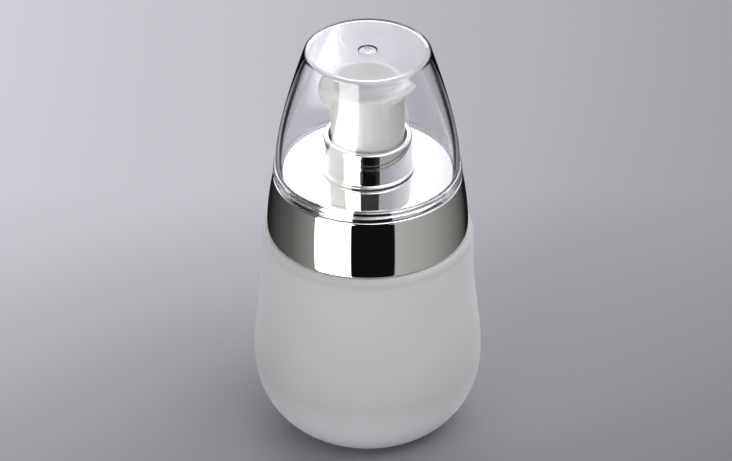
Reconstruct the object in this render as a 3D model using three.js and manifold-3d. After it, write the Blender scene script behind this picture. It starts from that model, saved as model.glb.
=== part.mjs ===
// Foundation bottle: frosted egg-shaped glass, mirror shoulder sleeve, treatment pump, clear overcap.
// Millimetres, +Z up, z = 0 on the table, all round parts on the Z axis.
import * as THREE from 'three';
import { mergeVertices } from 'three/addons/utils/BufferGeometryUtils.js';
import Module from 'manifold-3d';

const wasm = await Module();
wasm.setup();

// ---- driving dimensions ----
const GAP = 0.3; // rest gap between touching pieces
const BASE_R = 16.2; // bearing ring of the glass, outer radius
const BELLY_R = 27.3; // widest radius of the glass
const BELLY_Z = 19.3;
const BODY_TOP_R = 25.2; // straight part under the shoulder
const SHOULDER_Z = 53.7; // flat shoulder that carries the sleeve
const FLOOR_Z = 8.0; // inside floor of the heavy base
const BORE_R = 5.6; // neck bore
const NECK_R = 7.75; // thread root of the glass
const THREAD_R = 8.85; // thread crest of the glass
const LAND_Z = 69.0; // sealing land of the neck
const PITCH = 3.175; // 8 threads per inch
const SLEEVE_R = 24.0; // lower edge of the mirror sleeve
const SLEEVE_TOP_R = 22.5;
const LEDGE_Z = 68.1; // ledge that carries the overcap
const DECK_R = 20.4;
const DECK_Z = 70.1;
const COLLAR_R = 10.5; // mirror collar of the pump
const COLLAR_TOP_Z = 79.3;
const HEAD_R = 8.75; // round barrel of the actuator
const HEAD_BOTTOM_Z = 78.1;
const PAD_Z = 94.1; // rim of the finger pad at the lip
const DISH_Z = 91.6; // middle of the dished pad
const NOZZLE_REACH = 12.2;
const LIP_REACH = 11.8;
const HEAD_TURN = -17; // degrees: nozzle turned a little to the back
const CAP_R = 21.75; // overcap just above its flange
const CAP_FLANGE_R = 22.4;
const CAP_EDGE_R = 1.5; // rounding of the overcap's top edge
const CAP_Z = 102.1; // overall height
const CAP_WALL = 1.65;
const CAP_CEILING_Z = 100.45;
const STEM_R = 2.6;
const TUBE_R = 1.4;

// ---- helpers ----
// Keeps position only, welds it, drops needles and turns the surface outwards.
function tidy(geometry) {
  const g = geometry.clone();
  g.deleteAttribute('normal');
  g.deleteAttribute('uv');
  const m = mergeVertices(g, 1e-4);
  const p = m.attributes.position;
  const idx = m.index.array;
  const keep = [];
  const a = new THREE.Vector3();
  const b = new THREE.Vector3();
  const c = new THREE.Vector3();
  let volume = 0;
  for (let i = 0; i < idx.length; i += 3) {
    const [u, v, w] = [idx[i], idx[i + 1], idx[i + 2]];
    if (u === v || v === w || u === w) continue;
    keep.push(u, v, w);
    a.fromBufferAttribute(p, u);
    b.fromBufferAttribute(p, v);
    c.fromBufferAttribute(p, w);
    volume += a.dot(b.cross(c));
  }
  if (volume < 0) keep.reverse();
  m.setIndex(keep);
  return m;
}

function solid(geometry) {
  const g = tidy(geometry);
  return new wasm.Manifold(new wasm.Mesh({
    numProp: 3,
    vertProperties: new Float32Array(g.attributes.position.array),
    triVerts: new Uint32Array(g.index.array),
  }));
}

function geometryOf(manifold) {
  const mesh = manifold.getMesh();
  const g = new THREE.BufferGeometry();
  g.setAttribute('position', new THREE.BufferAttribute(new Float32Array(mesh.vertProperties), 3));
  g.setIndex(Array.from(mesh.triVerts));
  return g;
}

// Turns a closed (radius, height) outline about the Z axis.
function turned(path, segments, divisions = 8) {
  const points = path.getPoints(divisions);
  const line = points.filter((q, i) => i === 0 || q.distanceTo(points[i - 1]) > 1e-3);
  return new THREE.LatheGeometry(line, segments).rotateX(Math.PI / 2);
}

// Outline made of straight runs only.
function outline(...pairs) {
  const path = new THREE.Path();
  path.moveTo(...pairs[0]);
  for (const q of pairs.slice(1)) path.lineTo(...q);
  path.lineTo(...pairs[0]);
  return path;
}

// Screw thread: a tapered ridge from root to crest radius, fading out at both ends.
function ridge(rootR, crestR, rootW, crestW, startZ, turns) {
  const perTurn = 18;
  const steps = Math.round(turns * perTurn);
  const pos = [];
  const idx = [];
  for (let i = 0; i <= steps; i++) {
    const angle = (2 * Math.PI * i) / perTurn;
    const fade = Math.min(1, (i + 0.5) / 5, (steps - i + 0.5) / 5);
    const crest = rootR + (crestR - rootR) * (0.3 + 0.7 * fade);
    const z = startZ + (PITCH * i) / perTurn;
    const ring = [[rootR, -rootW / 2], [crest, -crestW / 2], [crest, crestW / 2], [rootR, rootW / 2]];
    for (const [r, dz] of ring) pos.push(r * Math.cos(angle), r * Math.sin(angle), z + dz);
    if (i === 0) continue;
    for (let k = 0; k < 4; k++) {
      const [a, b] = [4 * (i - 1) + k, 4 * (i - 1) + ((k + 1) % 4)];
      idx.push(a, b, b + 4, a, b + 4, a + 4);
    }
  }
  const n = 4 * steps;
  idx.push(0, 2, 1, 0, 3, 2, n, n + 1, n + 2, n, n + 2, n + 3);
  const g = new THREE.BufferGeometry();
  g.setAttribute('position', new THREE.Float32BufferAttribute(pos, 3));
  g.setIndex(idx);
  return g;
}

function ring(radius, sides) {
  const pts = [];
  for (let i = 0; i < sides; i++) {
    const a = (2 * Math.PI * i) / sides;
    pts.push(new THREE.Vector2(radius * Math.cos(a), radius * Math.sin(a)));
  }
  return pts;
}

function rod(radius, from, to, sides = 16) {
  const a = new THREE.Vector3(...from);
  const b = new THREE.Vector3(...to);
  const g = new THREE.CylinderGeometry(radius, radius, a.distanceTo(b), sides);
  const dir = b.clone().sub(a).normalize();
  const turn = new THREE.Quaternion().setFromUnitVectors(new THREE.Vector3(0, 1, 0), dir);
  return g.applyQuaternion(turn).translate(...a.add(b).multiplyScalar(0.5).toArray());
}

const group = new THREE.Group();
function add(name, geometry, color, roughness, metalness, extra = {}) {
  const material = new THREE.MeshStandardMaterial({ color, roughness, metalness, ...extra });
  const mesh = new THREE.Mesh(tidy(geometry), material);
  mesh.name = name;
  group.add(mesh);
  return mesh;
}

// ---- glass bottle: egg-shaped heavy-based body, flat shoulder, threaded neck ----
function glassBottle() {
  const p = new THREE.Path();
  p.moveTo(0, 1.2);
  p.quadraticCurveTo(7, 1.2, 12, 0);
  p.lineTo(BASE_R, 0);
  p.bezierCurveTo(23.6, 3.6, BELLY_R, 10.6, BELLY_R, BELLY_Z);
  p.bezierCurveTo(BELLY_R, 27, BODY_TOP_R, 37, BODY_TOP_R, 46);
  p.lineTo(BODY_TOP_R, SHOULDER_Z - 1.8);
  p.absarc(BODY_TOP_R - 1.8, SHOULDER_Z - 1.8, 1.8, 0, Math.PI / 2, false);
  p.lineTo(NECK_R + 0.8, SHOULDER_Z);
  p.lineTo(NECK_R, SHOULDER_Z + 0.8);
  p.lineTo(NECK_R, 55.8);
  p.lineTo(NECK_R + 0.6, 56.2);
  p.lineTo(NECK_R + 0.6, 57.0);
  p.lineTo(NECK_R, 57.5);
  p.lineTo(NECK_R, LAND_Z - 0.4);
  p.lineTo(NECK_R - 0.4, LAND_Z);
  p.lineTo(BORE_R + 0.3, LAND_Z);
  p.lineTo(BORE_R, LAND_Z - 0.3);
  p.lineTo(BORE_R, 52.6);
  p.quadraticCurveTo(BORE_R, 50.2, 9.5, 49.8);
  p.bezierCurveTo(16, 49.2, 20.8, 48.6, 20.9, 42);
  p.bezierCurveTo(21.0, 36, 22.6, 28, 22.6, 21.5);
  p.bezierCurveTo(22.6, 14.5, 19, FLOOR_Z + 1, 12.5, FLOOR_Z);
  p.lineTo(0, FLOOR_Z);
  return geometryOf(solid(turned(p, 36, 4))
    .add(solid(ridge(NECK_R - 0.25, THREAD_R, 1.9, 0.9, 59.4, 2.2))));
}
add('glass_bottle', glassBottle(), 0xd9dcdd, 0.55, 0.0, { transparent: true, opacity: 0.6 });

// ---- mirror shoulder sleeve: tapering side, ledge for the overcap, raised deck ----
function shoulderSleeve() {
  const t = 0.5;
  const p = new THREE.Path();
  p.moveTo(SLEEVE_R - t, SHOULDER_Z + GAP);
  p.lineTo(SLEEVE_R - 0.15, SHOULDER_Z + GAP);
  p.lineTo(SLEEVE_R, SHOULDER_Z + GAP + 0.15);
  p.bezierCurveTo(SLEEVE_R - 0.15, 58.5, 23.4, 63, SLEEVE_TOP_R, LEDGE_Z - 0.6);
  p.quadraticCurveTo(SLEEVE_TOP_R - 0.08, LEDGE_Z, SLEEVE_TOP_R - 0.6, LEDGE_Z);
  p.lineTo(DECK_R, LEDGE_Z);
  p.lineTo(DECK_R, DECK_Z - 0.3);
  p.quadraticCurveTo(DECK_R, DECK_Z, DECK_R - 0.3, DECK_Z);
  p.lineTo(COLLAR_R - 0.05, DECK_Z);
  p.lineTo(COLLAR_R - 0.05, DECK_Z - t);
  p.lineTo(DECK_R - t, DECK_Z - t);
  p.lineTo(DECK_R - t, LEDGE_Z - t);
  p.lineTo(SLEEVE_TOP_R - t - 0.1, LEDGE_Z - t);
  p.bezierCurveTo(23.4 - t, 63, SLEEVE_R - t - 0.15, 58.5, SLEEVE_R - t, SHOULDER_Z + GAP);
  return turned(p, 36, 3);
}
add('shoulder_sleeve', shoulderSleeve(), 0xc9cacc, 0.04, 1.0);

// ---- inner liner that carries the sleeve on the glass shoulder ----
const linerFoot = SHOULDER_Z + GAP;
add('sleeve_liner', turned(outline([10.3, linerFoot], [11.3, linerFoot], [11.3, 68.2], [18.6, 68.2],
  [18.6, 66.1], [20.6, 66.1], [22.1, linerFoot], [23.15, linerFoot], [21.6, 67.2], [19.5, 67.2],
  [19.5, DECK_Z - 0.8], [10.3, DECK_Z - 0.8]), 32), 0xe6e6e4, 0.5, 0.0);

// ---- threaded closure: skirt on the neck, clamping ceiling, well that guides the actuator ----
function threadedClosure() {
  const body = turned(outline([9.15, 54.6], [9.9, 54.6], [9.9, COLLAR_TOP_Z - 0.65],
    [9.15, COLLAR_TOP_Z - 0.65], [9.15, 73.1], [5.6, 73.1], [5.6, 71.9], [9.15, 71.9]), 40);
  return geometryOf(solid(body).add(solid(ridge(9.4, 8.1, 1.3, 0.7, 59.4 + PITCH / 2, 1.7))));
}
add('threaded_closure', threadedClosure(), 0xe9e9e6, 0.45, 0.0);

// ---- mirror collar shell: foot bead on the deck, plain wall, rolled rim ----
function collarShell() {
  const t = 0.35;
  const foot = DECK_Z + GAP;
  const p = new THREE.Path();
  p.moveTo(COLLAR_R - t, foot);
  p.lineTo(COLLAR_R + 0.35, foot);
  p.absarc(COLLAR_R + 0.35, foot + 0.25, 0.25, -Math.PI / 2, Math.PI / 2, false);
  p.quadraticCurveTo(COLLAR_R, foot + 0.55, COLLAR_R, foot + 1.0);
  p.lineTo(COLLAR_R, COLLAR_TOP_Z - 0.7);
  p.absarc(COLLAR_R - 0.7, COLLAR_TOP_Z - 0.7, 0.7, 0, Math.PI / 2, false);
  p.lineTo(9.45, COLLAR_TOP_Z);
  p.quadraticCurveTo(9.25, COLLAR_TOP_Z - 0.02, 9.25, COLLAR_TOP_Z - 0.18);
  p.lineTo(9.3, COLLAR_TOP_Z - t);
  p.lineTo(COLLAR_R - 0.7, COLLAR_TOP_Z - t);
  p.quadraticCurveTo(COLLAR_R - t, COLLAR_TOP_Z - t, COLLAR_R - t, COLLAR_TOP_Z - 0.8);
  p.lineTo(COLLAR_R - t, foot);
  return turned(p, 36, 2);
}
add('collar_shell', collarShell(), 0xcfd0d2, 0.04, 1.0);

// ---- gasket between the neck's land and the pump flange ----
add('neck_gasket', turned(outline([5.3, LAND_Z + GAP], [8.4, LAND_Z + GAP], [8.4, LAND_Z + 1.1],
  [5.3, LAND_Z + 1.1]), 28), 0xf0efe9, 0.8, 0.0);

// ---- pump housing: flange, piston bore, spring chamber, ball seat, tube socket ----
add('pump_housing', turned(outline([4.0, 71.6], [4.0, 49.0], [3.2, 48.5], [3.2, 43.6], [2.0, 43.6],
  [2.0, 41.2], [0.8, 40.0], [0.8, 39.0], [1.5, 39.0], [1.5, 34.0], [2.3, 34.0], [2.3, 39.3],
  [3.0, 40.6], [4.0, 41.6], [4.0, 48.0], [4.8, 49.0], [4.8, 70.4], [8.6, 70.4], [8.6, 71.6]), 28),
0xededea, 0.5, 0.0);

// ---- housing cap: plugs the housing and guides the stem ----
add('housing_cap', turned(outline([2.75, 64.5], [3.9, 64.5], [3.9, 71.9], [5.3, 71.9], [5.3, 73.3],
  [2.75, 73.3]), 28), 0xe4e4e0, 0.5, 0.0);

// ---- stem: hollow, with cross slots at its foot where the liquid enters ----
function pumpStem() {
  const tube = turned(outline([1.0, 54.0], [2.0, 54.0], [2.0, 59.8], [STEM_R, 59.8], [STEM_R, 86.0],
    [1.0, 86.0]), 24);
  const slot = new THREE.BoxGeometry(6, 0.8, 1.6).translate(0, 0, 54.4);
  return geometryOf(solid(tube).subtract(solid(slot)).subtract(solid(slot.clone().rotateZ(Math.PI / 2))));
}
add('pump_stem', pumpStem(), 0xeeeeeb, 0.45, 0.0);

// ---- piston seat: spring perch, valve face and the plug that fits the stem's foot ----
add('piston_seat', turned(outline([0, 48.2], [1.2, 48.2], [1.5, 48.6], [1.5, 52.9], [2.9, 52.9],
  [2.9, 53.5], [2.7, 53.7], [0.9, 53.7], [0.9, 57.2], [0.7, 57.5], [0, 57.5]), 20), 0xe2e2de, 0.5, 0.0);

// ---- floating piston: inner sleeve, web, outer skirt with two lips ----
add('pump_piston', turned(outline([2.05, 54.1], [2.6, 54.1], [2.6, 56.3], [3.35, 56.3], [3.5, 54.6],
  [3.95, 54.6], [3.8, 55.4], [3.8, 57.9], [3.95, 58.7], [3.5, 58.7], [3.35, 57.1], [2.6, 57.1],
  [2.6, 59.1], [2.05, 59.1]), 28), 0xf2f2f0, 0.4, 0.0);

// ---- return spring ----
class Coil extends THREE.Curve {
  getPoint(t, target = new THREE.Vector3()) {
    const turns = 6;
    const a = 2 * Math.PI * turns * t;
    return target.set(2.4 * Math.cos(a), 2.4 * Math.sin(a), 44.15 + 8.2 * t);
  }
}
add('return_spring', new THREE.ExtrudeGeometry(new THREE.Shape(ring(0.22, 5)),
  { steps: 66, bevelEnabled: false, extrudePath: new Coil() }), 0xb4b6b8, 0.3, 1.0);

// ---- check ball on its conical seat ----
add('check_ball', new THREE.SphereGeometry(1.2, 12, 8).translate(0, 0, 40.98), 0xc2c4c6, 0.1, 1.0);

// ---- dip tube: straight in its socket, then curling to the heel of the glass ----
function dipTube() {
  const path = new THREE.CurvePath();
  const bend = new THREE.Vector3(0, 0, 33.5);
  path.add(new THREE.LineCurve3(new THREE.Vector3(0, 0, 38.7), bend));
  path.add(new THREE.QuadraticBezierCurve3(bend, new THREE.Vector3(0, 0, 21), new THREE.Vector3(0, 8.5, 9.6)));
  const section = new THREE.Shape(ring(TUBE_R, 10));
  section.holes.push(new THREE.Path(ring(TUBE_R - 0.5, 8)));
  return new THREE.ExtrudeGeometry(section, { steps: 16, bevelEnabled: false, extrudePath: path });
}
add('dip_tube', dipTube(), 0xf0f1f0, 0.35, 0.0);

// ---- actuator head: round barrel growing into a nozzle and a finger lip, dished pad on top ----
// Reach of the pad's edge in direction a: tangents from the barrel to a softly rounded tip.
function reach(a, tip, soft) {
  const open = Math.acos(HEAD_R / tip) + soft;
  return HEAD_R / Math.cos(Math.max(0, open - Math.hypot(a, soft)));
}

function headSection(angle) {
  const toLip = Math.abs(Math.atan2(Math.sin(angle), Math.cos(angle)));
  const nozzle = toLip > Math.PI / 2;
  const tip = nozzle ? NOZZLE_REACH : LIP_REACH;
  const edge = nozzle ? reach(Math.PI - toLip, tip, 0.4) : reach(toLip, tip, 0.22);
  const u = (edge - HEAD_R) / (tip - HEAD_R);
  const blend = THREE.MathUtils.lerp;
  const flareZ = blend(90.0, nozzle ? 83.6 : 89.4, u);
  const edgeZ = blend(91.8, nozzle ? 89.8 : 93.5, u);
  const rimR = blend(6.7, nozzle ? 8.6 : 10.4, u);
  const rimZ = blend(92.8, nozzle ? 93.4 : PAD_Z, u);
  const belly = nozzle ? u : 0;
  const p = new THREE.Path();
  p.moveTo(0, HEAD_BOTTOM_Z);
  p.lineTo(HEAD_R - 0.2, HEAD_BOTTOM_Z);
  p.lineTo(HEAD_R, HEAD_BOTTOM_Z + 0.2);
  p.lineTo(HEAD_R, flareZ);
  p.bezierCurveTo(blend(HEAD_R, edge, 0.45 * belly), flareZ + (edgeZ - flareZ) * blend(0.5, 0.12, belly),
    blend(HEAD_R, edge, blend(0.75, 1, belly)), flareZ + (edgeZ - flareZ) * blend(0.85, 0.5, belly), edge, edgeZ);
  p.bezierCurveTo(edge, blend(edgeZ, rimZ, 0.7), blend(rimR, edge, 0.5), rimZ, rimR, rimZ);
  p.bezierCurveTo(rimR * 0.86, rimZ - 0.1, rimR * 0.5, DISH_Z, 0, DISH_Z);
  return p.getPoints(5);
}

function actuatorHead() {
  const around = 44;
  const pos = [];
  const idx = [];
  let rows = 0;
  for (let i = 0; i < around; i++) {
    const a = (2 * Math.PI * i) / around;
    const pts = headSection(a);
    rows = pts.length;
    for (const q of pts) pos.push(q.x * Math.cos(a), q.x * Math.sin(a), q.y);
    const next = ((i + 1) % around) * rows;
    for (let k = 0; k < rows - 1; k++) {
      const [s, t] = [i * rows + k, next + k];
      idx.push(s, t, t + 1, s, t + 1, s + 1);
    }
  }
  const g = new THREE.BufferGeometry();
  g.setAttribute('position', new THREE.Float32BufferAttribute(pos, 3));
  g.setIndex(idx);
  const low = HEAD_BOTTOM_Z - 1;
  const well = turned(outline([3.9, low], [7.6, low], [7.6, 86.8], [6.8, 88.0], [3.9, 88.0]), 28);
  return geometryOf(solid(g)
    .subtract(solid(well))
    .subtract(solid(rod(STEM_R + 0.05, [0, 0, low], [0, 0, 86.3], 32)))
    .subtract(solid(rod(1.1, [0, 0, 86], [0, 0, 90.4])))
    .subtract(solid(rod(0.9, [0.4, 0, 90.0], [-NOZZLE_REACH - 2, 0, 89.6]))));
}
add('actuator_head', actuatorHead(), 0xeeeeea, 0.35, 0.0, { transparent: true, opacity: 0.9 })
  .rotation.z = THREE.MathUtils.degToRad(HEAD_TURN);

// ---- clear overcap: flange on the ledge, domed side, flat top with a ring-shaped gate mark ----
function overcap() {
  const low = LEDGE_Z + GAP;
  const p = new THREE.Path();
  p.moveTo(DECK_R + 0.1, low);
  p.lineTo(CAP_FLANGE_R - 0.2, low);
  p.quadraticCurveTo(CAP_FLANGE_R, low, CAP_FLANGE_R, low + 0.2);
  p.lineTo(CAP_FLANGE_R, 69.3);
  p.quadraticCurveTo(CAP_FLANGE_R, 69.5, CAP_FLANGE_R - 0.2, 69.5);
  p.lineTo(CAP_FLANGE_R - 0.3, 69.8);
  p.lineTo(CAP_FLANGE_R - 0.15, 70.0);
  p.lineTo(CAP_FLANGE_R - 0.15, 70.5);
  p.quadraticCurveTo(CAP_R, 70.7, CAP_R, 71.4);
  const slope = THREE.MathUtils.degToRad(17.5);
  p.bezierCurveTo(CAP_R, 80, 17.6, 93, 13.64 + CAP_EDGE_R * Math.cos(slope),
    CAP_Z - CAP_EDGE_R * (1 - Math.sin(slope)));
  p.absarc(13.64, CAP_Z - CAP_EDGE_R, CAP_EDGE_R, slope, Math.PI / 2, false);
  p.lineTo(2.3, CAP_Z);
  p.lineTo(2.05, CAP_Z - 0.35);
  p.lineTo(1.1, CAP_Z - 0.35);
  p.lineTo(0.8, CAP_Z - 0.15);
  p.lineTo(0, CAP_Z - 0.15);
  p.lineTo(0, CAP_CEILING_Z);
  p.lineTo(12.9, CAP_CEILING_Z);
  p.quadraticCurveTo(13.6, CAP_CEILING_Z, 15.52 - CAP_WALL, 99.6);
  p.bezierCurveTo(17.6 - CAP_WALL, 92.4, CAP_R - CAP_WALL, 80, CAP_R - CAP_WALL, 71.4);
  p.lineTo(CAP_R - CAP_WALL, DECK_Z + GAP);
  p.lineTo(DECK_R + 0.1, DECK_Z + GAP);
  p.lineTo(DECK_R + 0.1, low);
  return turned(p, 36, 3);
}
add('overcap', overcap(), 0xf4f5f8, 0.03, 0.0, { transparent: true, opacity: 0.25 });

export default group;
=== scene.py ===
"""Looks of a foundation bottle: frosted glass, mirror shoulder, treatment pump, clear overcap."""
import math

import bmesh
import bpy
from bpy.props import FloatProperty, FloatVectorProperty, PointerProperty
from bpy.types import Operator, Panel, PropertyGroup
from mathutils import Matrix, Vector


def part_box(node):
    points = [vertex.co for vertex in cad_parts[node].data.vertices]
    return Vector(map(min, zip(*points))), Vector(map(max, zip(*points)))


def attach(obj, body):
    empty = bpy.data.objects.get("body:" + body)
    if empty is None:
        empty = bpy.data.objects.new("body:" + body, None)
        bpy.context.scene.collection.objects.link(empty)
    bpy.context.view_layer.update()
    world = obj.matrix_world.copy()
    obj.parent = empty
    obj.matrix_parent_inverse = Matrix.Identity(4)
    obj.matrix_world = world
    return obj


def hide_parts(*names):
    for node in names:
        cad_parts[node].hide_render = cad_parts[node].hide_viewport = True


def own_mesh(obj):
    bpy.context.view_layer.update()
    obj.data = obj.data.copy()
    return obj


bl_info = {
    "name": "Foundation Bottle",
    "version": (1, 0, 0),
    "blender": (4, 5, 0),
    "location": "3D View > Sidebar > Bottle",
    "description": "Builds the visible pieces of a frosted glass foundation bottle with its pump",
    "category": "Object",
}

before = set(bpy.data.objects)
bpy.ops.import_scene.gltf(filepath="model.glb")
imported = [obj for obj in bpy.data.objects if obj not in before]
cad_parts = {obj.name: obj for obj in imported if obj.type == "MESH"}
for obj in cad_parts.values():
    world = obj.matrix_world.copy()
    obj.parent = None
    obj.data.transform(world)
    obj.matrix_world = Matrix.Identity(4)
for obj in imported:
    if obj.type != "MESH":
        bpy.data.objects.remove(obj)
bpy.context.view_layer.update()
MM = 0.001
ROUND = 128  # faces round a turned piece


def top(node):
    """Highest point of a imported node, in metres."""
    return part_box(node)[1].z


def half_width(node):
    """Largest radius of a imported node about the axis, in metres."""
    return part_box(node)[1].x


def length(name, description, default):
    return FloatProperty(name=name, description=description, default=default, min=0.0,
                         subtype="DISTANCE", unit="LENGTH")


def colour(name, description, default):
    return FloatVectorProperty(name=name, description=description, default=default, size=3,
                               min=0.0, max=1.0, subtype="COLOR")


class BottleGlass(PropertyGroup):
    base_radius: length("Base radius", "Outer radius of the bearing ring", 16.2 * MM)
    belly_radius: length("Belly radius", "Widest radius of the glass", half_width("glass_bottle"))
    belly_height: length("Belly height", "Height of the widest place", 19.3 * MM)
    body_radius: length("Body radius", "Radius of the straight part under the shoulder", 25.2 * MM)
    shoulder_height: length("Shoulder height", "Height of the flat shoulder", 53.7 * MM)
    neck_height: length("Neck height", "Height of the sealing land", top("glass_bottle"))
    thread_pitch: length("Thread pitch", "Rise of the screw thread in one turn", 3.175 * MM)
    tint: colour("Frost colour", "Colour of the etched glass", (0.81, 0.815, 0.805))


class BottleSleeve(PropertyGroup):
    foot_radius: length("Foot radius", "Radius of the lower edge", half_width("shoulder_sleeve"))
    deck_height: length("Deck height", "Height of the mirror deck", top("shoulder_sleeve"))
    deck_radius: length("Deck radius", "Radius of the raised deck", 20.4 * MM)
    tint: colour("Mirror colour", "Reflection colour of the plating", (0.86, 0.865, 0.87))


class BottlePump(PropertyGroup):
    collar_radius: length("Collar radius", "Radius of the mirror collar's wall", 10.5 * MM)
    collar_top: length("Collar top", "Height of the collar's rolled rim", top("collar_shell"))
    tube_radius: length("Tube radius", "Outer radius of the dip tube", 1.4 * MM)
    plastic: colour("Plastic colour", "Colour of the moulded inner pieces", (0.82, 0.82, 0.80))


class BottleHead(PropertyGroup):
    barrel_radius: length("Barrel radius", "Radius of the round barrel", 8.75 * MM)
    pad_height: length("Pad height", "Height of the pad's rim at the lip", top("actuator_head"))
    dish_height: length("Dish height", "Height of the middle of the dished pad", 91.6 * MM)
    nozzle_reach: length("Nozzle reach", "Distance of the nozzle's tip from the axis", 12.2 * MM)
    lip_reach: length("Lip reach", "Distance of the finger lip's tip from the axis", 11.8 * MM)
    turn: FloatProperty(name="Turn", description="Angle of the nozzle from the left",
                        default=math.radians(-17), subtype="ANGLE", unit="ROTATION")
    tint: colour("Head colour", "Colour of the milky plastic", (0.97, 0.965, 0.935))


class BottleCap(PropertyGroup):
    flange_radius: length("Flange radius", "Radius of the foot flange", half_width("overcap"))
    side_radius: length("Side radius", "Radius just above the flange", 21.75 * MM)
    edge_radius: length("Edge radius", "Rounding of the top edge", 1.5 * MM)
    height: length("Top height", "Height of the flat top", top("overcap"))
    wall: length("Wall", "Thickness of the side wall", 1.25 * MM)
    ceiling: length("Ceiling height", "Height of the inner ceiling", 101.1 * MM)
    tint: colour("Cap colour", "Colour of the clear plastic", (0.985, 0.985, 1.0))


class BottleStage(PropertyGroup):
    camera_distance: length("Camera distance", "Distance of the camera from its target", 1.2)
    camera_angle: FloatProperty(name="Camera angle", description="How far the camera looks down",
                                default=math.radians(32.9), subtype="ANGLE", unit="ROTATION")
    target_height: length("Target height", "Height that the camera looks at", 51.8 * MM)
    lens: FloatProperty(name="Lens", description="Focal length in millimetres", default=247.9, min=1.0)
    floor_tint: colour("Floor colour", "Colour of the plain floor", (0.625, 0.634, 0.676))
    light: FloatProperty(name="Light", description="Strength of the studio light", default=1.0, min=0.0)


# ---- small tools for outlines and meshes ----

class Outline:
    """A run of (radius, height) points in millimetres, made of straight runs and curves."""

    def __init__(self, r, z):
        self.points = [(r, z)]

    def line(self, *pairs):
        self.points += pairs
        return self

    def quad(self, c, end, steps=8):
        a = self.points[-1]
        for i in range(1, steps + 1):
            t = i / steps
            self.points.append(tuple((1 - t) ** 2 * a[k] + 2 * t * (1 - t) * c[k] + t * t * end[k]
                                     for k in (0, 1)))
        return self

    def cubic(self, c, d, end, steps=20):
        a = self.points[-1]
        for i in range(1, steps + 1):
            t = i / steps
            s = 1 - t
            self.points.append(tuple(s ** 3 * a[k] + 3 * s * s * t * c[k] + 3 * s * t * t * d[k]
                                     + t ** 3 * end[k] for k in (0, 1)))
        return self

    def arc(self, cx, cz, radius, start, end, steps=10):
        for i in range(steps + 1):
            a = math.radians(start + (end - start) * i / steps)
            self.points.append((cx + radius * math.cos(a), cz + radius * math.sin(a)))
        return self


def new_piece(name, verts, faces, material, sharp=40.0):
    """Links a mesh, welds it, turns its faces outwards and shades it smooth between sharp edges."""
    mesh = bpy.data.meshes.new(name)
    mesh.from_pydata(verts, [], faces)
    work = bmesh.new()
    work.from_mesh(mesh)
    bmesh.ops.remove_doubles(work, verts=work.verts, dist=1e-6)
    bmesh.ops.recalc_face_normals(work, faces=work.faces)
    work.to_mesh(mesh)
    work.free()
    mesh.polygons.foreach_set("use_smooth", [True] * len(mesh.polygons))
    mesh.set_sharp_from_angle(angle=math.radians(sharp))
    mesh.materials.append(material)
    piece = bpy.data.objects.new(name, mesh)
    bpy.context.scene.collection.objects.link(piece)
    return piece


def turn(name, outline, material, closed=True, sharp=40.0):
    """Turns an outline about the Z axis. An open outline starts and ends on the axis."""
    points = [p for i, p in enumerate(outline.points)
              if i == 0 or math.dist(p, outline.points[i - 1]) > 1e-4]
    if closed and math.dist(points[0], points[-1]) < 1e-4:
        points.pop()
    verts = []
    for i in range(ROUND):
        a = 2 * math.pi * i / ROUND
        verts += [(r * MM * math.cos(a), r * MM * math.sin(a), z * MM) for r, z in points]
    n = len(points)
    runs = n if closed else n - 1
    faces = []
    for i in range(ROUND):
        here, there = i * n, ((i + 1) % ROUND) * n
        for k in range(runs):
            j = (k + 1) % n
            on_axis = points[k][0] < 1e-6, points[j][0] < 1e-6
            if on_axis == (True, True):
                continue
            if on_axis[0]:
                faces.append((here, here + j, there + j) if k == 0 else (here + k, here + j, there + j))
            elif on_axis[1]:
                faces.append((here + k, here + j, there + k))
            else:
                faces.append((here + k, here + j, there + j, there + k))
    return new_piece(name, verts, faces, material, sharp)


def finish_piece(piece, body, slot, *nodes):
    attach(piece, body)
    if nodes:
        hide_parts(*nodes)


# ---- materials ----

def material(name):
    """A new node material; returns it with its tree and its Principled shader."""
    made = bpy.data.materials.new(name)
    made.use_nodes = True
    tree = made.node_tree
    return made, tree, tree.nodes["Principled BSDF"]


def node(tree, kind, inputs=None, **settings):
    made = tree.nodes.new(kind)
    for key, value in settings.items():
        setattr(made, key, value)
    for key, value in (inputs or {}).items():
        made.inputs[key].default_value = value
    return made


def noise(tree, scale, detail=3.0, stretch=(1, 1, 1)):
    """Noise in object space; scale is in bumps per metre."""
    place = node(tree, "ShaderNodeTexCoord")
    mapping = node(tree, "ShaderNodeMapping", {"Scale": stretch})
    texture = node(tree, "ShaderNodeTexNoise", {"Scale": scale, "Detail": detail})
    tree.links.new(place.outputs["Object"], mapping.inputs["Vector"])
    tree.links.new(mapping.outputs["Vector"], texture.inputs["Vector"])
    return texture.outputs["Fac"]


def ramp(tree, source, low, high, a, b):
    """Maps source from low..high to a..b."""
    made = node(tree, "ShaderNodeMapRange",
                {"From Min": low, "From Max": high, "To Min": a, "To Max": b})
    tree.links.new(source, made.inputs["Value"])
    return made.outputs["Result"]


def tinted(tree, fac, first, second):
    mix = node(tree, "ShaderNodeMix", data_type="RGBA")
    mix.inputs[6].default_value = (*first, 1)
    mix.inputs[7].default_value = (*second, 1)
    tree.links.new(fac, mix.inputs[0])
    return mix.outputs[2]


def bump(tree, shader, height, strength, distance):
    made = node(tree, "ShaderNodeBump", {"Strength": strength, "Distance": distance})
    tree.links.new(height, made.inputs["Height"])
    tree.links.new(made.outputs["Normal"], shader.inputs["Normal"])
    return made


def shade(tint, k):
    return tuple(min(1.0, c * k) for c in tint)


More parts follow.
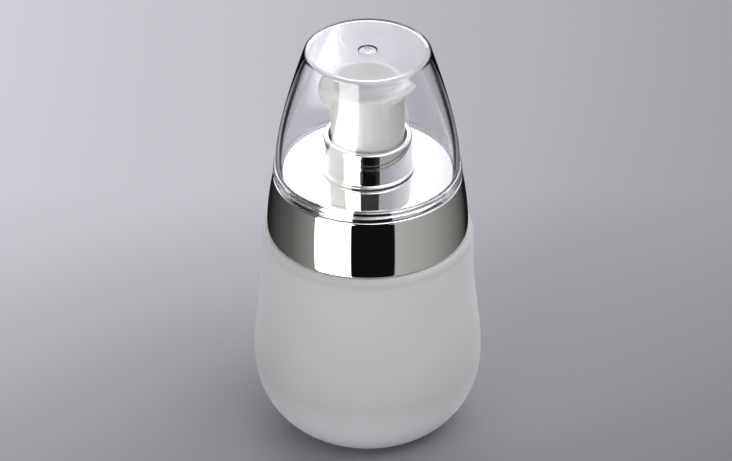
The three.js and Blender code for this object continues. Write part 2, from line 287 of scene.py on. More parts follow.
def frosted_glass(tint):
    """Acid-etched glass: a matte, finely grained skin that lets light through without a view. Its colour
    carries painted light and shade by height: lighter at the foot and up the body, darker at the
    shoulder's rounding just under the sleeve.
    """
    made, tree, shader = material("frosted_glass")
    cloud = noise(tree, 38.0, 2.0)
    grain = noise(tree, 5200.0, 2.0)
    place = node(tree, "ShaderNodeTexCoord")
    split = node(tree, "ShaderNodeSeparateXYZ")
    tree.links.new(place.outputs["Object"], split.inputs["Vector"])
    # painted light by height: the foot is painted lighter, the upper body lighter towards the shoulder,
    # and the shoulder's rounding just under the sleeve darker as painted shade
    foot = ramp(tree, split.outputs["Z"], 0.009, 0.018, 1.0, 0.0)
    upper = ramp(tree, split.outputs["Z"], 0.018, 0.046, 0.0, 0.45)
    edge = ramp(tree, split.outputs["Z"], 0.0505, 0.0530, 0.0, -0.45)
    light = node(tree, "ShaderNodeMath", operation="ADD")
    body = node(tree, "ShaderNodeMath", operation="ADD")
    tree.links.new(foot, body.inputs[0])
    tree.links.new(upper, body.inputs[1])
    tree.links.new(body.outputs["Value"], light.inputs[0])
    tree.links.new(edge, light.inputs[1])
    tone = node(tree, "ShaderNodeMath", operation="MULTIPLY_ADD")
    tree.links.new(cloud, tone.inputs[0])
    tone.inputs[1].default_value = 0.12
    tree.links.new(light.outputs["Value"], tone.inputs[2])
    # the base colour mixes a shaded and a lit copy of the frost colour by this painted light and shade
    # plus a little random cloud
    tree.links.new(tinted(tree, tone.outputs["Value"], shade(tint, 0.86), shade(tint, 1.35)),
                   shader.inputs["Base Color"])
    tree.links.new(ramp(tree, cloud, 0.3, 0.7, 0.56, 0.64), shader.inputs["Roughness"])
    shader.inputs["Transmission Weight"].default_value = 0.4
    shader.inputs["IOR"].default_value = 1.5
    shader.inputs["Sheen Weight"].default_value = 0.4
    bump(tree, shader, grain, 0.25, 0.00004)
    return made


def mirror_plating(tint):
    """Bright plating: almost perfect mirror with faint polishing haze and a few dust specks."""
    made, tree, shader = material("mirror_plating")
    haze = noise(tree, 70.0, 3.0)
    dust = noise(tree, 2400.0, 0.0)
    specks = ramp(tree, dust, 0.84, 0.87, 0.0, 1.0)
    tree.links.new(tinted(tree, haze, shade(tint, 0.98), shade(tint, 1.01)),
                   shader.inputs["Base Color"])
    rough = node(tree, "ShaderNodeMath", operation="ADD")
    tree.links.new(ramp(tree, haze, 0.3, 0.8, 0.012, 0.035), rough.inputs[0])
    tree.links.new(ramp(tree, specks, 0.0, 1.0, 0.0, 0.2), rough.inputs[1])
    tree.links.new(rough.outputs["Value"], shader.inputs["Roughness"])
    shader.inputs["Metallic"].default_value = 1.0
    bump(tree, shader, specks, 0.1, 0.00002)
    return made


def clear_plastic(tint):
    """Crystal-clear moulded plastic with a trace of flow marks."""
    made, tree, shader = material("clear_plastic")
    flow = noise(tree, 45.0, 2.0, (1, 1, 0.25))
    tree.links.new(tinted(tree, flow, shade(tint, 0.995), tint), shader.inputs["Base Color"])
    tree.links.new(ramp(tree, flow, 0.3, 0.8, 0.0, 0.012), shader.inputs["Roughness"])
    shader.inputs["Transmission Weight"].default_value = 1.0
    shader.inputs["IOR"].default_value = 1.49
    bump(tree, shader, flow, 0.04, 0.0002)
    return made


def milky_plastic(name, tint, pad_painted_shade=1.0, glow=0.1, through=0.0):
    """Translucent moulded plastic with a satin gloss. Inside the barrel's radius, on the pad, the colour
    is painted darker as painted shade.
    """
    made, tree, shader = material(name)
    cloud = noise(tree, 120.0, 3.0)
    skin = noise(tree, 2600.0, 2.0)
    place = node(tree, "ShaderNodeTexCoord")
    flat = node(tree, "ShaderNodeVectorMath", operation="MULTIPLY")
    flat.inputs[1].default_value = (1, 1, 0)
    tree.links.new(place.outputs["Object"], flat.inputs[0])
    away = node(tree, "ShaderNodeVectorMath", operation="LENGTH")
    tree.links.new(flat.outputs["Vector"], away.inputs[0])
    # painted shade: within the barrel's radius the colour is mixed towards the darker copy of the tint,
    # with a little random cloud
    depth = node(tree, "ShaderNodeMath", operation="MULTIPLY_ADD")
    tree.links.new(cloud, depth.inputs[0])
    depth.inputs[1].default_value = 0.1
    tree.links.new(ramp(tree, away.outputs["Value"], 0.0068, 0.0086, 0.95, 0.0), depth.inputs[2])
    tree.links.new(tinted(tree, depth.outputs["Value"], tint, shade(tint, pad_painted_shade)),
                   shader.inputs["Base Color"])
    tree.links.new(ramp(tree, cloud, 0.3, 0.7, 0.16, 0.24), shader.inputs["Roughness"])
    shader.inputs["Subsurface Weight"].default_value = glow
    shader.inputs["Subsurface Radius"].default_value = (1.0, 0.95, 0.85)
    shader.inputs["Subsurface Scale"].default_value = 0.004
    shader.inputs["Transmission Weight"].default_value = through
    shader.inputs["IOR"].default_value = 1.49
    bump(tree, shader, skin, 0.06, 0.00003)
    return made


def moulded_plastic(tint):
    """Plain satin plastic of the hidden pump pieces."""
    made, tree, shader = material("moulded_plastic")
    cloud = noise(tree, 160.0, 3.0)
    skin = noise(tree, 3000.0, 2.0)
    tree.links.new(tinted(tree, cloud, shade(tint, 0.97), shade(tint, 1.03)),
                   shader.inputs["Base Color"])
    tree.links.new(ramp(tree, cloud, 0.3, 0.7, 0.38, 0.5), shader.inputs["Roughness"])
    bump(tree, shader, skin, 0.1, 0.00003)
    return made


def soft_seal():
    """Matte elastomer of the gasket."""
    made, tree, shader = material("soft_seal")
    cloud = noise(tree, 300.0, 4.0)
    tree.links.new(tinted(tree, cloud, (0.74, 0.74, 0.71), (0.82, 0.82, 0.79)),
                   shader.inputs["Base Color"])
    tree.links.new(ramp(tree, cloud, 0.3, 0.7, 0.7, 0.85), shader.inputs["Roughness"])
    bump(tree, shader, cloud, 0.15, 0.00005)
    return made


def spring_steel():
    """Drawn stainless wire and ball."""
    made, tree, shader = material("spring_steel")
    draw = noise(tree, 1400.0, 3.0, (1, 1, 6))
    tree.links.new(tinted(tree, draw, (0.52, 0.53, 0.54), (0.66, 0.67, 0.68)),
                   shader.inputs["Base Color"])
    tree.links.new(ramp(tree, draw, 0.3, 0.7, 0.18, 0.3), shader.inputs["Roughness"])
    shader.inputs["Metallic"].default_value = 1.0
    bump(tree, shader, draw, 0.1, 0.00002)
    return made


# ---- geometry nodes ----

def new_tree(name, inputs):
    """A geometry tree with a geometry output and the named inputs; returns it with its end nodes."""
    tree = bpy.data.node_groups.new(name, "GeometryNodeTree")
    for label, kind in inputs:
        tree.interface.new_socket(label, in_out="INPUT", socket_type=kind)
    tree.interface.new_socket("Geometry", in_out="OUTPUT", socket_type="NodeSocketGeometry")
    return tree, tree.nodes.new("NodeGroupInput"), tree.nodes.new("NodeGroupOutput")


def close_tree(tree, start, end, geometry):
    """Ends a tree in Realize Instances and Set Material."""
    real = node(tree, "GeometryNodeRealizeInstances")
    paint = node(tree, "GeometryNodeSetMaterial")
    tree.links.new(geometry, real.inputs["Geometry"])
    tree.links.new(real.outputs["Geometry"], paint.inputs["Geometry"])
    tree.links.new(start.outputs["Material"], paint.inputs["Material"])
    tree.links.new(paint.outputs["Geometry"], end.inputs["Geometry"])


def grow(name, tree, values):
    """Runs a tree on an empty mesh with these input values and returns the plain mesh object."""
    host = bpy.data.objects.new(name + "_host", bpy.data.meshes.new(name + "_host"))
    bpy.context.scene.collection.objects.link(host)
    modifier = host.modifiers.new(name, "NODES")
    modifier.node_group = tree
    for item in tree.interface.items_tree:
        if item.item_type == "SOCKET" and item.in_out == "INPUT":
            modifier[item.identifier] = values[item.name]
    bpy.context.view_layer.update()
    evaluated = host.evaluated_get(bpy.context.evaluated_depsgraph_get())
    mesh = bpy.data.meshes.new_from_object(evaluated)
    host.modifiers.remove(modifier)
    bpy.data.objects.remove(host)
    if not mesh.polygons:
        raise RuntimeError(f"{name} grew no faces")
    mesh.name = name
    piece = bpy.data.objects.new(name, mesh)
    bpy.context.scene.collection.objects.link(piece)
    return piece


def spiral_tree():
    """Screw thread or coil spring: a round section swept up a right-hand spiral, with closed ends."""
    tree, start, end = new_tree("Spiral Sweep", [
        ("Radius", "NodeSocketFloat"), ("Section", "NodeSocketFloat"), ("Pitch", "NodeSocketFloat"),
        ("Turns", "NodeSocketFloat"), ("Start Height", "NodeSocketFloat"),
        ("Material", "NodeSocketMaterial")])
    spiral = node(tree, "GeometryNodeCurveSpiral", {"Resolution": 64, "Reverse": True})
    rise = node(tree, "ShaderNodeMath", operation="MULTIPLY")
    tree.links.new(start.outputs["Pitch"], rise.inputs[0])
    tree.links.new(start.outputs["Turns"], rise.inputs[1])
    tree.links.new(start.outputs["Turns"], spiral.inputs["Rotations"])
    tree.links.new(start.outputs["Radius"], spiral.inputs["Start Radius"])
    tree.links.new(start.outputs["Radius"], spiral.inputs["End Radius"])
    tree.links.new(rise.outputs["Value"], spiral.inputs["Height"])
    lift = node(tree, "ShaderNodeCombineXYZ")
    tree.links.new(start.outputs["Start Height"], lift.inputs["Z"])
    move = node(tree, "GeometryNodeTransform")
    tree.links.new(spiral.outputs["Curve"], move.inputs["Geometry"])
    tree.links.new(lift.outputs["Vector"], move.inputs["Translation"])
    section = node(tree, "GeometryNodeCurvePrimitiveCircle", {"Resolution": 14})
    tree.links.new(start.outputs["Section"], section.inputs["Radius"])
    sweep = node(tree, "GeometryNodeCurveToMesh", {"Fill Caps": True})
    tree.links.new(move.outputs["Geometry"], sweep.inputs["Curve"])
    tree.links.new(section.outputs["Curve"], sweep.inputs["Profile Curve"])
    close_tree(tree, start, end, sweep.outputs["Mesh"])
    return tree


def tube_tree():
    """Flexible tube: straight out of its socket, then one smooth bend to its tip."""
    tree, start, end = new_tree("Dip Tube", [
        ("Top", "NodeSocketVector"), ("Bend", "NodeSocketVector"), ("Handle", "NodeSocketVector"),
        ("Tip", "NodeSocketVector"), ("Radius", "NodeSocketFloat"), ("Material", "NodeSocketMaterial")])
    straight = node(tree, "GeometryNodeCurvePrimitiveLine")
    curve = node(tree, "GeometryNodeCurveQuadraticBezier", {"Resolution": 40})
    tree.links.new(start.outputs["Top"], straight.inputs["Start"])
    tree.links.new(start.outputs["Bend"], straight.inputs["End"])
    for socket, label in (("Start", "Bend"), ("Middle", "Handle"), ("End", "Tip")):
        tree.links.new(start.outputs[label], curve.inputs[socket])
    points = node(tree, "GeometryNodeResampleCurve", {"Count": 48})
    tree.links.new(curve.outputs["Curve"], points.inputs["Curve"])
    section = node(tree, "GeometryNodeCurvePrimitiveCircle", {"Resolution": 24})
    tree.links.new(start.outputs["Radius"], section.inputs["Radius"])
    join = node(tree, "GeometryNodeJoinGeometry")
    for run in (straight.outputs["Curve"], points.outputs["Curve"]):
        sweep = node(tree, "GeometryNodeCurveToMesh")
        tree.links.new(run, sweep.inputs["Curve"])
        tree.links.new(section.outputs["Curve"], sweep.inputs["Profile Curve"])
        tree.links.new(sweep.outputs["Mesh"], join.inputs["Geometry"])
    weld = node(tree, "GeometryNodeMergeByDistance", {"Distance": 0.0002})
    tree.links.new(join.outputs["Geometry"], weld.inputs["Geometry"])
    close_tree(tree, start, end, weld.outputs["Geometry"])
    return tree


# ---- pieces ----

class BOTTLE_OT_glass(Operator):
    """Build the frosted egg-shaped glass with its flat shoulder and threaded neck"""
    bl_idname = "bottle.glass"
    bl_label = "Frosted Glass"

    def execute(self, context):
        p = context.scene.bottle_glass
        base, belly, wide = p.base_radius / MM, p.belly_radius / MM, p.belly_height / MM
        body, shoulder, land = p.body_radius / MM, p.shoulder_height / MM, p.neck_height / MM
        neck, bore, floor = 7.75, 5.6, 8.0
        glass = frosted_glass(p.tint)
        # push-up, bearing ring, belly and side
        o = Outline(0, 1.2).quad((7, 1.2), (12, 0))
        o.line((base - 0.6, 0)).quad((base, 0), (base + 0.5, 0.25), 4)
        o.cubic((23.5, 3.8), (belly, 10.6), (belly, wide), 36)
        o.cubic((belly, 27), (body, 37), (body, 46), 30)
        o.line((body, shoulder - 1.8)).arc(body - 1.8, shoulder - 1.8, 1.8, 0, 90, 12)
        # neck with its transfer bead
        bead = neck + 0.6
        o.line((neck + 0.8, shoulder)).quad((neck, shoulder), (neck, shoulder + 0.8), 5).line((neck, 55.8))
        o.quad((bead, 55.8), (bead, 56.4), 5).line((bead, 56.9)).quad((bead, 57.5), (neck, 57.5), 5)
        o.line((neck, land - 0.4)).quad((neck, land), (neck - 0.4, land), 5).line((bore + 0.3, land))
        # inside of the glass, from the bore down to the floor
        o.quad((bore, land), (bore, land - 0.3), 5).line((bore, 52.6)).quad((bore, 50.2), (9.5, 49.8), 8)
        o.cubic((16, 49.2), (20.8, 48.6), (20.9, 42), 14)
        o.cubic((21.0, 36), (22.6, 28), (22.6, 21.5), 14)
        o.cubic((22.6, 14.5), (19, floor + 1), (12.5, floor), 14).line((0, floor))
        finish_piece(turn("frosted_glass_body", o, glass, closed=False), "bottle", "frosted_glass",
                     "glass_bottle")
        ridge = grow("neck_thread", spiral_tree(), {
            "Radius": 8.0 * MM, "Section": 0.78 * MM, "Pitch": p.thread_pitch, "Turns": 2.1,
            "Start Height": 59.4 * MM, "Material": glass})
        finish_piece(ridge, "bottle", "frosted_glass")
        return {"FINISHED"}


class BOTTLE_OT_sleeve(Operator):
    """Build the mirror shoulder sleeve with its ledge and raised deck"""
    bl_idname = "bottle.sleeve"
    bl_label = "Mirror Sleeve"

    def execute(self, context):
        p = context.scene.bottle_sleeve
        foot, deck_z, deck = p.foot_radius / MM, p.deck_height / MM, p.deck_radius / MM
        low, upper, ledge, wall, hole = 54.0, 22.5, 68.1, 0.5, 10.45
        o = Outline(foot - wall, low).line((foot - 0.2, low)).quad((foot, low), (foot, low + 0.2), 5)
        o.cubic((foot - 0.15, 58.5), (23.4, 63), (upper, ledge - 0.6), 30)
        o.quad((upper - 0.08, ledge), (upper - 0.6, ledge), 8).line((deck, ledge), (deck, deck_z - 0.35))
        o.quad((deck, deck_z), (deck - 0.35, deck_z), 8).line((hole, deck_z), (hole, deck_z - wall))
        o.line((deck - wall, deck_z - wall), (deck - wall, ledge - wall))
        o.line((upper - wall - 0.1, ledge - wall))
        o.cubic((23.4 - wall, 63), (foot - wall - 0.15, 58.5), (foot - wall, low), 30)
        finish_piece(turn("mirror_sleeve", o, mirror_plating(p.tint), sharp=50), "bottle", "mirror_metal",
                     "shoulder_sleeve")
        return {"FINISHED"}


class BOTTLE_OT_pump(Operator):
    """Build the mirror collar, the closure and the dip tube, and finish the hidden pump pieces"""
    bl_idname = "bottle.pump"
    bl_label = "Treatment Pump"

    def execute(self, context):
        p = context.scene.bottle_pump
        wall_r, rim = p.collar_radius / MM, p.collar_top / MM
        foot, t = 70.4, 0.35
        plating = mirror_plating(context.scene.bottle_sleeve.tint)
        plastic = moulded_plastic(p.plastic)
        bead = wall_r + 0.35
        o = Outline(wall_r - t, foot).line((bead, foot)).arc(bead, foot + 0.25, 0.25, -90, 90, 8)
        o.quad((wall_r, foot + 0.55), (wall_r, foot + 1.0), 5).line((wall_r, rim - 0.7))
        o.arc(wall_r - 0.7, rim - 0.7, 0.7, 0, 90, 10)
        o.line((9.45, rim)).quad((9.25, rim), (9.25, rim - 0.18), 5)
        o.line((9.3, rim - t), (wall_r - 0.7, rim - t))
        o.quad((wall_r - t, rim - t), (wall_r - t, rim - 0.8), 5)
        o.line((wall_r - t, foot))
        finish_piece(turn("mirror_collar", o, plating, sharp=50), "closure", "mirror_metal",
                     "collar_shell")
        tube = grow("smooth_dip_tube", tube_tree(), {
            "Top": (0, 0, 38.7 * MM), "Bend": (0, 0, 33.5 * MM), "Handle": (0, 0, 21 * MM),
            "Tip": (0, 8.5 * MM, 9.6 * MM), "Radius": p.tube_radius,
            "Material": milky_plastic("tube_plastic", (0.82, 0.83, 0.82), 1.0, 0.2, 0.3)})
        thick = tube.modifiers.new("wall", "SOLIDIFY")
        thick.thickness, thick.offset = 0.5 * MM, -1.0
        finish_piece(tube, "pump", "milky_plastic", "dip_tube")
        seal, steel = soft_seal(), spring_steel()
        foot, crown = (corner.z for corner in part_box("return_spring"))
        turns, wire, press = 6.0, 0.22 * MM, 4 * MM
        spring = grow("coiled_spring", spiral_tree(), {
            "Radius": 2.4 * MM, "Section": wire, "Pitch": (crown - foot - 2 * wire) / turns,
            "Turns": turns, "Start Height": foot + wire, "Material": steel})
        finish_piece(spring, "pump", "steel", "return_spring")
        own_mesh(spring)
        looks = {name: plastic for name in ("sleeve_liner", "threaded_closure", "pump_housing",
                                            "housing_cap", "pump_stem", "piston_seat", "pump_piston")}
        looks.update(neck_gasket=seal, check_ball=steel)
        for name, look in looks.items():
            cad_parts[name].data.materials.clear()
            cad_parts[name].data.materials.append(look)
        return {"FINISHED"}


def blend(a, b, t):
    return a + (b - a) * t


def reach(angle, barrel, tip, soft):
    """Edge of the pad in one direction: tangents from the barrel to a softly rounded tip."""
    spread = math.acos(barrel / tip) + soft
    return barrel / math.cos(max(0.0, spread - math.hypot(angle, soft)))


def head_section(angle, barrel, nozzle_tip, lip_tip, low, rim, dish):
    """Outline of the head in one direction, from the barrel's foot over the pad to its middle."""
    away = abs(math.atan2(math.sin(angle), math.cos(angle)))
    nozzle = away > math.pi / 2
    tip = nozzle_tip if nozzle else lip_tip
    edge = reach(math.pi - away, barrel, tip, 0.4) if nozzle else reach(away, barrel, tip, 0.22)
    u = (edge - barrel) / (tip - barrel)
    belly = u if nozzle else 0.0
    flare = blend(90.0, 83.6 if nozzle else 89.4, u)
    side = blend(91.8, 89.8 if nozzle else 93.5, u)
    rim_r = blend(6.7, 8.6 if nozzle else 10.4, u)
    rim_z = blend(92.8, 93.4 if nozzle else rim, u)
    o = Outline(7.6, low).line((barrel - 0.2, low)).quad((barrel, low), (barrel, low + 0.2), 3)
    o.line((barrel, flare))
    o.cubic((blend(barrel, edge, 0.45 * belly), flare + (side - flare) * blend(0.5, 0.12, belly)),
            (blend(barrel, edge, blend(0.75, 1, belly)), flare + (side - flare) * blend(0.85, 0.5, belly)),
            (edge, side), 14)
    o.cubic((edge, blend(side, rim_z, 0.7)), (blend(rim_r, edge, 0.5), rim_z), (rim_r, rim_z), 12)
    o.cubic((rim_r * 0.86, rim_z - 0.1), (rim_r * 0.5, dish), (0, dish), 14)
    return o.points


class BOTTLE_OT_head(Operator):
    """Build the milky actuator head with its nozzle, finger lip and dished pad"""
    bl_idname = "bottle.head"
    bl_label = "Actuator Head"

    def execute(self, context):
        p = context.scene.bottle_head
        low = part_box("actuator_head")[0].z / MM
        verts, faces = [], []
        for i in range(ROUND):
            a = 2 * math.pi * i / ROUND
            inside = [(2.65, 86.3), (2.65, low), (3.9, low), (3.9, 88.0), (6.8, 88.0), (7.6, 86.8)]
            section = [(0, 86.3)] + inside + head_section(
                a, p.barrel_radius / MM, p.nozzle_reach / MM, p.lip_reach / MM, low,
                p.pad_height / MM, p.dish_height / MM)
            c, s = math.cos(a + p.turn) * MM, math.sin(a + p.turn) * MM
            verts += [(r * c, r * s, z * MM) for r, z in section]
        n = len(section)
        for i in range(ROUND):
            here, there = i * n, ((i + 1) % ROUND) * n
            faces += [(here + k, here + k + 1, there + k + 1, there + k) for k in range(1, n - 2)]
            faces.append((here, here + 1, there + 1))
            faces.append((here + n - 2, here + n - 1, there + n - 2))
        # 0.58 darkens the pad as painted shade
        look = milky_plastic("milky_plastic", p.tint, 0.58)
        head = new_piece("milky_head", verts, faces, look, sharp=45)
        self.bore_nozzle(head, p)
        finish_piece(head, "head", "milky_plastic", "actuator_head")
        return {"FINISHED"}

    def bore_nozzle(self, head, p):
        """Cut the outlet into the nozzle's tip."""
        out = Vector((-math.cos(p.turn), -math.sin(p.turn), 0))
        bpy.ops.mesh.primitive_cylinder_add(radius=0.9 * MM, depth=10 * MM, vertices=32)
        drill = bpy.context.object
        # a small turn keeps the corners of the drill off the middle line of the nozzle
        off_seam = Matrix.Rotation(math.radians(4), 4, "Z")
        drill.matrix_world = out.to_track_quat("Z", "Y").to_matrix().to_4x4() @ off_seam
        drill.matrix_world.translation = out * (p.nozzle_reach + 1 * MM) + Vector((0, 0, 89.7 * MM))
        cut = head.modifiers.new("outlet", "BOOLEAN")
        cut.operation, cut.solver, cut.object = "DIFFERENCE", "EXACT", drill
        bpy.context.view_layer.update()
        evaluated = head.evaluated_get(bpy.context.evaluated_depsgraph_get())
        mesh = bpy.data.meshes.new_from_object(evaluated)
        head.modifiers.clear()
        head.data = mesh
        bpy.data.objects.remove(drill)
        mesh.set_sharp_from_angle(angle=math.radians(45))


class BOTTLE_OT_cap(Operator):
    """Build the clear overcap with its ringed flange, flat top and gate mark"""
    bl_idname = "bottle.cap"
    bl_label = "Clear Overcap"

    def execute(self, context):
        p = context.scene.bottle_cap
        flange, side, edge = p.flange_radius / MM, p.side_radius / MM, p.edge_radius / MM
        high, wall, ceiling = p.height / MM, p.wall / MM, p.ceiling / MM
        low, seat, plug, flat, slope = 68.4, 70.4, 20.5, 13.64, 17.5
        lean = math.radians(slope)
        o = Outline(plug, low).line((flange - 0.2, low)).quad((flange, low), (flange, low + 0.2), 5)
        o.line((flange, 69.3)).quad((flange, 69.5), (flange - 0.2, 69.5), 5)
        o.quad((flange - 0.45, 69.6), (flange - 0.35, 69.8), 5)
        o.quad((flange - 0.12, 69.85), (flange - 0.12, 70.1), 5)
        o.line((flange - 0.15, 70.5)).quad((side, 70.7), (side, 71.4), 8)
        brow = (flat + edge * math.cos(lean), high - edge * (1 - math.sin(lean)))
        o.cubic((side, 80), (17.6, 93), brow, 44)
        o.arc(flat, high - edge, edge, slope, 90, 12)
        o.cubic((10, high), (6, high - 0.22), (2.3, high - 0.22), 24)
        o.line((2.05, high - 0.5), (1.1, high - 0.5)).quad((0.9, high - 0.36), (0, high - 0.36), 6)
        o.line((0, ceiling), (13.4, ceiling)).quad((13.66, ceiling), (15.34 - wall, ceiling - 0.25), 6)
        o.cubic((17.6 - wall, 92.4), (side - wall, 80), (side - wall, 71.4), 44)
        o.line((side - wall, seat), (plug, seat), (plug, low))
        finish_piece(turn("clear_overcap", o, clear_plastic(p.tint), sharp=35), "cap",
                     "clear_plastic", "overcap")
        return {"FINISHED"}


# ---- studio ----

def studio_world(strength):
    """Studio seen by the pieces: strip boxes, a back panel and dark gaps round the table."""
    world = bpy.data.worlds.new("studio")
    bpy.context.scene.world = world
    world.use_nodes = True
    tree = world.node_tree
    tree.nodes.clear()
    place = node(tree, "ShaderNodeTexCoord")
    split = node(tree, "ShaderNodeSeparateXYZ")
    tree.links.new(place.outputs["Generated"], split.inputs["Vector"])
    front = node(tree, "ShaderNodeMath", operation="MULTIPLY")
    front.inputs[1].default_value = -1.0
    tree.links.new(split.outputs["Y"], front.inputs[0])
    bearing = node(tree, "ShaderNodeMath", operation="ARCTAN2")
    tree.links.new(split.outputs["X"], bearing.inputs[0])
    tree.links.new(front.outputs["Value"], bearing.inputs[1])
    spread = node(tree, "ShaderNodeMath", operation="MULTIPLY")
    tree.links.new(bearing.outputs["Value"], spread.inputs[0])
    slope = node(tree, "ShaderNodeMath", operation="ABSOLUTE")
    tree.links.new(split.outputs["Z"], slope.inputs[0])
    tree.links.new(ramp(tree, slope.outputs["Value"], 0.0, 0.2, 1.42, 1.0), spread.inputs[1])
    around = ramp(tree, spread.outputs["Value"], -math.pi, math.pi, 0.0, 1.0)

    def bands(stops, tone):
        made = node(tree, "ShaderNodeValToRGB")
        elements = made.color_ramp.elements
        while len(elements) > 1:
            elements.remove(elements[-1])
        for i, (degrees, grey) in enumerate(stops):
            spot = (degrees + 180) / 360
            element = elements[0] if i == 0 else elements.new(spot)
            element.position = spot
            element.color = (*(c * grey for c in tone), 1)
        tree.links.new(around, made.inputs["Fac"])
        return made.outputs["Color"]

    def scaled(source, factor):
        made = node(tree, "ShaderNodeVectorMath", operation="SCALE")
        made.inputs["Scale"].default_value = factor
        tree.links.new(source, made.inputs[0])
        return made.outputs["Vector"]

    def mixed(fac, a, b):
        made = node(tree, "ShaderNodeMix", data_type="VECTOR")
        tree.links.new(fac, made.inputs[0])
        tree.links.new(a, made.inputs[4])
        tree.links.new(b, made.inputs[5])
        return made.outputs[1]

    # brightness by bearing in degrees, 0 in front and rising towards +X
    table = bands([(-180, 0.0015), (-160, 0.0015), (-150, 0.002), (-94, 0.014), (-61, 0.036),
                   (-59, 1.0), (-20, 1.0), (-19, 0.0007), (30, 0.0007), (31, 0.058), (78, 0.042),
                   (124, 0.018), (150, 0.0013)], (1, 1, 0.94))
    walls = bands([(-180, 0.65), (-172, 1.35), (-140, 0.45), (-110, 0.05), (-62, 0.03), (-60, 1.0),
                   (-20, 1.0), (-19, 0.002), (30, 0.002), (31, 0.2), (78, 0.25), (140, 0.4),
                   (172, 0.6), (180, 0.65)], (0.98, 0.96, 1))
    canopy = bands([(-180, 0.5), (-130, 0.15), (-60, 0.1), (-15, 0.7), (30, 2.3), (75, 2.5), (110, 1.8),
                    (150, 0.8), (180, 0.5)], (1, 1, 1))
    z = split.outputs["Z"]
    above = ramp(tree, z, -0.02, 0.02, 0.0, 1.0)
    high = ramp(tree, z, 0.68, 0.78, 0.0, 1.0)
    sky = mixed(high, scaled(walls, 2.6), scaled(canopy, 2.6))
    light = mixed(above, scaled(table, 8.0), sky)
    zenith = ramp(tree, z, 0.75, 0.92, strength, 0.2 * strength)
    lit = node(tree, "ShaderNodeBackground")
    tree.links.new(light, lit.inputs["Color"])
    tree.links.new(zenith, lit.inputs["Strength"])
    plain = node(tree, "ShaderNodeBackground", {"Color": (0.55, 0.55, 0.58, 1), "Strength": 1.0})
    path = node(tree, "ShaderNodeLightPath")
    choose = node(tree, "ShaderNodeMixShader")
    tree.links.new(path.outputs["Is Camera Ray"], choose.inputs["Fac"])
    tree.links.new(lit.outputs["Background"], choose.inputs[1])
    tree.links.new(plain.outputs["Background"], choose.inputs[2])
    end = node(tree, "ShaderNodeOutputWorld")
    tree.links.new(choose.outputs["Shader"], end.inputs["Surface"])


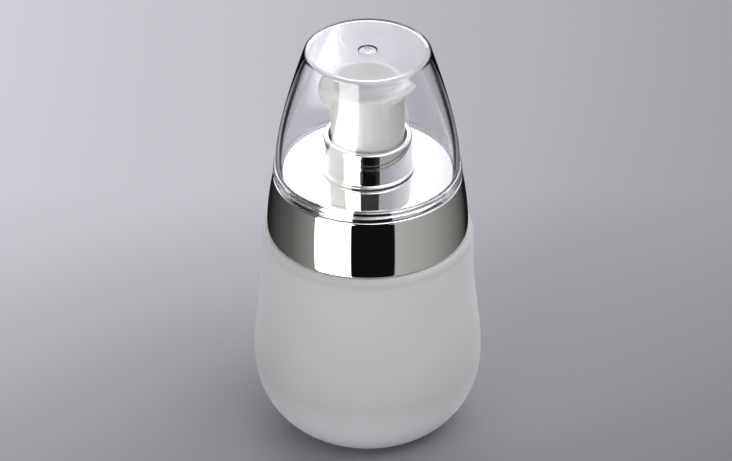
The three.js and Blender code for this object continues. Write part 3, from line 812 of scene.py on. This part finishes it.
class BOTTLE_OT_stage(Operator):
    """Build the floor with its painted light fall-off, the soft studio light and the camera"""
    bl_idname = "bottle.stage"
    bl_label = "Stage"

    def execute(self, context):
        p = context.scene.bottle_stage
        made, tree, shader = material("floor_painted_light")
        place = node(tree, "ShaderNodeTexCoord")
        split = node(tree, "ShaderNodeSeparateXYZ")
        tree.links.new(place.outputs["Object"], split.inputs["Vector"])
        # painted light: the floor is painted darker towards the right and towards the front, with a
        # brighter band painted in front of the bottle
        painted_light_across = ramp(tree, split.outputs["X"], -0.11, 0.11, 0.90, 0.48)
        painted_light_along = ramp(tree, split.outputs["Y"], -0.02, 0.10, 0.530, 0.958)
        painted_floor_light = node(tree, "ShaderNodeMath", operation="MULTIPLY_ADD")
        tree.links.new(painted_light_across, painted_floor_light.inputs[0])
        tree.links.new(painted_light_along, painted_floor_light.inputs[1])
        tree.links.new(ramp(tree, split.outputs["Y"], -0.075, -0.025, 1.0, 0.0), painted_floor_light.inputs[2])
        tree.links.new(tinted(tree, painted_floor_light.outputs["Value"], (0, 0, 0), p.floor_tint),
                       shader.inputs["Base Color"])
        shader.inputs["Roughness"].default_value = 0.6
        shader.inputs["Specular IOR Level"].default_value = 0.2
        seam, lane, far = -0.03, 0.085, 6.0
        fields = {"floor_behind": (-lane, seam, lane, far), "floor_front": (-far, -far, far, seam),
                  "floor_left": (-far, seam, -lane, far), "floor_right": (lane, seam, far, far)}
        for name, (x0, y0, x1, y1) in fields.items():
            corners = [(x0, y0, 0), (x1, y0, 0), (x1, y1, 0), (x0, y1, 0)]
            floor = new_piece(name, corners, [(0, 1, 2, 3)], made)
            floor.visible_glossy = False
            floor.visible_transmission = name == "floor_behind"
        studio_world(p.light)
        camera = bpy.data.objects.new("camera", bpy.data.cameras.new("camera"))
        context.scene.collection.objects.link(camera)
        side = -0.0004
        camera.location = (side, -p.camera_distance * math.cos(p.camera_angle),
                           p.target_height + p.camera_distance * math.sin(p.camera_angle))
        camera.rotation_euler = (math.pi / 2 - p.camera_angle, 0, 0)
        camera.data.lens = p.lens
        camera.data.sensor_width = 36.0
        camera.data.clip_start = 0.01
        context.scene.camera = camera
        context.scene.view_settings.view_transform = "Standard"
        return {"FINISHED"}


class BOTTLE_PT_panel(Panel):
    """Lists the bottle's pieces"""
    bl_idname = "BOTTLE_PT_panel"
    bl_label = "Foundation Bottle"
    bl_space_type = "VIEW_3D"
    bl_region_type = "UI"
    bl_category = "Bottle"

    def draw(self, context):
        for group, operator in STEPS:
            box = self.layout.box()
            box.operator(operator.bl_idname)
            settings = getattr(context.scene, group)
            for name in settings.__annotations__:
                box.prop(settings, name)


STEPS = (("bottle_stage", BOTTLE_OT_stage), ("bottle_glass", BOTTLE_OT_glass),
         ("bottle_sleeve", BOTTLE_OT_sleeve), ("bottle_pump", BOTTLE_OT_pump),
         ("bottle_head", BOTTLE_OT_head), ("bottle_cap", BOTTLE_OT_cap))
GROUPS = {"bottle_stage": BottleStage, "bottle_glass": BottleGlass, "bottle_sleeve": BottleSleeve,
          "bottle_pump": BottlePump, "bottle_head": BottleHead, "bottle_cap": BottleCap}


def register():
    for group in GROUPS.values():
        bpy.utils.register_class(group)
    for _, operator in STEPS:
        bpy.utils.register_class(operator)
    bpy.utils.register_class(BOTTLE_PT_panel)
    for name, group in GROUPS.items():
        setattr(bpy.types.Scene, name, PointerProperty(type=group))


def unregister():
    for name in GROUPS:
        delattr(bpy.types.Scene, name)
    bpy.utils.unregister_class(BOTTLE_PT_panel)
    for _, operator in reversed(STEPS):
        bpy.utils.unregister_class(operator)
    for group in reversed(list(GROUPS.values())):
        bpy.utils.unregister_class(group)


def plain(box):
    return [[round(float(c), 6) for c in corner] for corner in box]


def main():
    register()
    bpy.ops.bottle.stage()
    bpy.ops.bottle.glass()
    bpy.ops.bottle.sleeve()
    bpy.ops.bottle.pump()
    bpy.ops.bottle.head()
    bpy.ops.bottle.cap()


if __name__ == "__main__":
    main()
